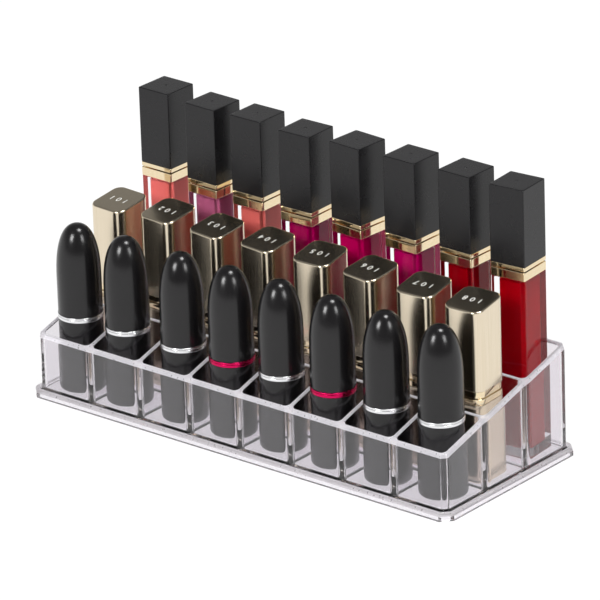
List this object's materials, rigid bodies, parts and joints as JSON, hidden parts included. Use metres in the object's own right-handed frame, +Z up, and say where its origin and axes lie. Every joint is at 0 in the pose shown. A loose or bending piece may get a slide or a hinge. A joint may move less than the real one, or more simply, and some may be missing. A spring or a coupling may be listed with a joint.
{
  "type": "vanity organizer",
  "caption": "Clear stepped organizer tray with rows of square pockets, holding round lipsticks, square lipsticks and lip gloss bottles, which lift out and uncap.",
  "frame": {"origin": "centre of the tray outline, on the plane of the rim that the tray stands on", "axes": "+X along the rows of eight pockets, +Y from the low front wall to the high back wall, +Z up"},
  "size_m": [0.2284, 0.0894, 0.1233],
  "materials": {
    "clear_plastic": "clear",
    "black_shell": "satin",
    "champagne_metal": "satin",
    "clear_bottle": "clear",
    "black_cap": "satin",
    "gloss_coral_pink": "glossy liquid",
    "gloss_orchid": "glossy liquid",
    "gloss_coral": "glossy liquid",
    "gloss_magenta": "glossy liquid",
    "gloss_fuchsia": "glossy liquid",
    "gloss_deep_red": "glossy liquid",
    "gloss_red": "glossy liquid"
  },
  "bodies": {
    "tray": {"tray": "clear_plastic"},
    "bullet_1": {"bullet_case_1": "black_shell"},
    "bullet_cover_1": {"bullet_cap_1": "black_shell"},
    "bullet_2": {"bullet_case_2": "black_shell"},
    "bullet_cover_2": {"bullet_cap_2": "black_shell"},
    "bullet_3": {"bullet_case_3": "black_shell"},
    "bullet_cover_3": {"bullet_cap_3": "black_shell"},
    "bullet_4": {"bullet_case_4": "black_shell"},
    "bullet_cover_4": {"bullet_cap_4": "black_shell"},
    "bullet_5": {"bullet_case_5": "black_shell"},
    "bullet_cover_5": {"bullet_cap_5": "black_shell"},
    "bullet_6": {"bullet_case_6": "black_shell"},
    "bullet_cover_6": {"bullet_cap_6": "black_shell"},
    "bullet_7": {"bullet_case_7": "black_shell"},
    "bullet_cover_7": {"bullet_cap_7": "black_shell"},
    "bullet_8": {"bullet_case_8": "black_shell"},
    "bullet_cover_8": {"bullet_cap_8": "black_shell"},
    "square_1": {"square_case_1": "champagne_metal"},
    "square_cover_1": {"square_cap_1": "champagne_metal"},
    "square_2": {"square_case_2": "champagne_metal"},
    "square_cover_2": {"square_cap_2": "champagne_metal"},
    "square_3": {"square_case_3": "champagne_metal"},
    "square_cover_3": {"square_cap_3": "champagne_metal"},
    "square_4": {"square_case_4": "champagne_metal"},
    "square_cover_4": {"square_cap_4": "champagne_metal"},
    "square_5": {"square_case_5": "champagne_metal"},
    "square_cover_5": {"square_cap_5": "champagne_metal"},
    "square_6": {"square_case_6": "champagne_metal"},
    "square_cover_6": {"square_cap_6": "champagne_metal"},
    "square_7": {"square_case_7": "champagne_metal"},
    "square_cover_7": {"square_cap_7": "champagne_metal"},
    "square_8": {"square_case_8": "champagne_metal"},
    "square_cover_8": {"square_cap_8": "champagne_metal"},
    "gloss_1": {"gloss_bottle_1": "clear_bottle", "gloss_fluid_1": "gloss_coral_pink"},
    "gloss_wand_1": {"gloss_cap_1": "black_cap"},
    "gloss_2": {"gloss_bottle_2": "clear_bottle", "gloss_fluid_2": "gloss_orchid"},
    "gloss_wand_2": {"gloss_cap_2": "black_cap"},
    "gloss_3": {"gloss_bottle_3": "clear_bottle", "gloss_fluid_3": "gloss_coral"},
    "gloss_wand_3": {"gloss_cap_3": "black_cap"},
    "gloss_4": {"gloss_bottle_4": "clear_bottle", "gloss_fluid_4": "gloss_magenta"},
    "gloss_wand_4": {"gloss_cap_4": "black_cap"},
    "gloss_5": {"gloss_bottle_5": "clear_bottle", "gloss_fluid_5": "gloss_magenta"},
    "gloss_wand_5": {"gloss_cap_5": "black_cap"},
    "gloss_6": {"gloss_bottle_6": "clear_bottle", "gloss_fluid_6": "gloss_fuchsia"},
    "gloss_wand_6": {"gloss_cap_6": "black_cap"},
    "gloss_7": {"gloss_bottle_7": "clear_bottle", "gloss_fluid_7": "gloss_deep_red"},
    "gloss_wand_7": {"gloss_cap_7": "black_cap"},
    "gloss_8": {"gloss_bottle_8": "clear_bottle", "gloss_fluid_8": "gloss_red"},
    "gloss_wand_8": {"gloss_cap_8": "black_cap"}
  },
  "joints": [
    {"name": "bullet_1_lifts_out", "type": "slide", "parent": "tray", "child": "bullet_1", "axis": [0, 0, 1], "range_m": [0, 0.06]},
    {"name": "bullet_1_cap_off", "type": "slide", "parent": "bullet_1", "child": "bullet_cover_1", "axis": [0, 0, 1], "range_m": [0, 0.045]},
    {"name": "bullet_2_lifts_out", "type": "slide", "parent": "tray", "child": "bullet_2", "axis": [0, 0, 1], "range_m": [0, 0.06]},
    {"name": "bullet_2_cap_off", "type": "slide", "parent": "bullet_2", "child": "bullet_cover_2", "axis": [0, 0, 1], "range_m": [0, 0.045]},
    {"name": "bullet_3_lifts_out", "type": "slide", "parent": "tray", "child": "bullet_3", "axis": [0, 0, 1], "range_m": [0, 0.06]},
    {"name": "bullet_3_cap_off", "type": "slide", "parent": "bullet_3", "child": "bullet_cover_3", "axis": [0, 0, 1], "range_m": [0, 0.045]},
    {"name": "bullet_4_lifts_out", "type": "slide", "parent": "tray", "child": "bullet_4", "axis": [0, 0, 1], "range_m": [0, 0.06]},
    {"name": "bullet_4_cap_off", "type": "slide", "parent": "bullet_4", "child": "bullet_cover_4", "axis": [0, 0, 1], "range_m": [0, 0.045]},
    {"name": "bullet_5_lifts_out", "type": "slide", "parent": "tray", "child": "bullet_5", "axis": [0, 0, 1], "range_m": [0, 0.06]},
    {"name": "bullet_5_cap_off", "type": "slide", "parent": "bullet_5", "child": "bullet_cover_5", "axis": [0, 0, 1], "range_m": [0, 0.045]},
    {"name": "bullet_6_lifts_out", "type": "slide", "parent": "tray", "child": "bullet_6", "axis": [0, 0, 1], "range_m": [0, 0.06]},
    {"name": "bullet_6_cap_off", "type": "slide", "parent": "bullet_6", "child": "bullet_cover_6", "axis": [0, 0, 1], "range_m": [0, 0.045]},
    {"name": "bullet_7_lifts_out", "type": "slide", "parent": "tray", "child": "bullet_7", "axis": [0, 0, 1], "range_m": [0, 0.06]},
    {"name": "bullet_7_cap_off", "type": "slide", "parent": "bullet_7", "child": "bullet_cover_7", "axis": [0, 0, 1], "range_m": [0, 0.045]},
    {"name": "bullet_8_lifts_out", "type": "slide", "parent": "tray", "child": "bullet_8", "axis": [0, 0, 1], "range_m": [0, 0.06]},
    {"name": "bullet_8_cap_off", "type": "slide", "parent": "bullet_8", "child": "bullet_cover_8", "axis": [0, 0, 1], "range_m": [0, 0.045]},
    {"name": "square_1_lifts_out", "type": "slide", "parent": "tray", "child": "square_1", "axis": [0, 0, 1], "range_m": [0, 0.06]},
    {"name": "square_1_cap_off", "type": "slide", "parent": "square_1", "child": "square_cover_1", "axis": [0, 0, 1], "range_m": [0, 0.045]},
    {"name": "square_2_lifts_out", "type": "slide", "parent": "tray", "child": "square_2", "axis": [0, 0, 1], "range_m": [0, 0.06]},
    {"name": "square_2_cap_off", "type": "slide", "parent": "square_2", "child": "square_cover_2", "axis": [0, 0, 1], "range_m": [0, 0.045]},
    {"name": "square_3_lifts_out", "type": "slide", "parent": "tray", "child": "square_3", "axis": [0, 0, 1], "range_m": [0, 0.06]},
    {"name": "square_3_cap_off", "type": "slide", "parent": "square_3", "child": "square_cover_3", "axis": [0, 0, 1], "range_m": [0, 0.045]},
    {"name": "square_4_lifts_out", "type": "slide", "parent": "tray", "child": "square_4", "axis": [0, 0, 1], "range_m": [0, 0.06]},
    {"name": "square_4_cap_off", "type": "slide", "parent": "square_4", "child": "square_cover_4", "axis": [0, 0, 1], "range_m": [0, 0.045]},
    {"name": "square_5_lifts_out", "type": "slide", "parent": "tray", "child": "square_5", "axis": [0, 0, 1], "range_m": [0, 0.06]},
    {"name": "square_5_cap_off", "type": "slide", "parent": "square_5", "child": "square_cover_5", "axis": [0, 0, 1], "range_m": [0, 0.045]},
    {"name": "square_6_lifts_out", "type": "slide", "parent": "tray", "child": "square_6", "axis": [0, 0, 1], "range_m": [0, 0.06]},
    {"name": "square_6_cap_off", "type": "slide", "parent": "square_6", "child": "square_cover_6", "axis": [0, 0, 1], "range_m": [0, 0.045]},
    {"name": "square_7_lifts_out", "type": "slide", "parent": "tray", "child": "square_7", "axis": [0, 0, 1], "range_m": [0, 0.06]},
    {"name": "square_7_cap_off", "type": "slide", "parent": "square_7", "child": "square_cover_7", "axis": [0, 0, 1], "range_m": [0, 0.045]},
    {"name": "square_8_lifts_out", "type": "slide", "parent": "tray", "child": "square_8", "axis": [0, 0, 1], "range_m": [0, 0.06]},
    {"name": "square_8_cap_off", "type": "slide", "parent": "square_8", "child": "square_cover_8", "axis": [0, 0, 1], "range_m": [0, 0.045]},
    {"name": "gloss_1_lifts_out", "type": "slide", "parent": "tray", "child": "gloss_1", "axis": [0, 0, 1], "range_m": [0, 0.06]},
    {"name": "gloss_1_cap_off", "type": "slide", "parent": "gloss_1", "child": "gloss_wand_1", "axis": [0, 0, 1], "range_m": [0, 0.09]},
    {"name": "gloss_2_lifts_out", "type": "slide", "parent": "tray", "child": "gloss_2", "axis": [0, 0, 1], "range_m": [0, 0.06]},
    {"name": "gloss_2_cap_off", "type": "slide", "parent": "gloss_2", "child": "gloss_wand_2", "axis": [0, 0, 1], "range_m": [0, 0.09]},
    {"name": "gloss_3_lifts_out", "type": "slide", "parent": "tray", "child": "gloss_3", "axis": [0, 0, 1], "range_m": [0, 0.06]},
    {"name": "gloss_3_cap_off", "type": "slide", "parent": "gloss_3", "child": "gloss_wand_3", "axis": [0, 0, 1], "range_m": [0, 0.09]},
    {"name": "gloss_4_lifts_out", "type": "slide", "parent": "tray", "child": "gloss_4", "axis": [0, 0, 1], "range_m": [0, 0.06]},
    {"name": "gloss_4_cap_off", "type": "slide", "parent": "gloss_4", "child": "gloss_wand_4", "axis": [0, 0, 1], "range_m": [0, 0.09]},
    {"name": "gloss_5_lifts_out", "type": "slide", "parent": "tray", "child": "gloss_5", "axis": [0, 0, 1], "range_m": [0, 0.06]},
    {"name": "gloss_5_cap_off", "type": "slide", "parent": "gloss_5", "child": "gloss_wand_5", "axis": [0, 0, 1], "range_m": [0, 0.09]},
    {"name": "gloss_6_lifts_out", "type": "slide", "parent": "tray", "child": "gloss_6", "axis": [0, 0, 1], "range_m": [0, 0.06]},
    {"name": "gloss_6_cap_off", "type": "slide", "parent": "gloss_6", "child": "gloss_wand_6", "axis": [0, 0, 1], "range_m": [0, 0.09]},
    {"name": "gloss_7_lifts_out", "type": "slide", "parent": "tray", "child": "gloss_7", "axis": [0, 0, 1], "range_m": [0, 0.06]},
    {"name": "gloss_7_cap_off", "type": "slide", "parent": "gloss_7", "child": "gloss_wand_7", "axis": [0, 0, 1], "range_m": [0, 0.09]},
    {"name": "gloss_8_lifts_out", "type": "slide", "parent": "tray", "child": "gloss_8", "axis": [0, 0, 1], "range_m": [0, 0.06]},
    {"name": "gloss_8_cap_off", "type": "slide", "parent": "gloss_8", "child": "gloss_wand_8", "axis": [0, 0, 1], "range_m": [0, 0.09]}
  ]
}
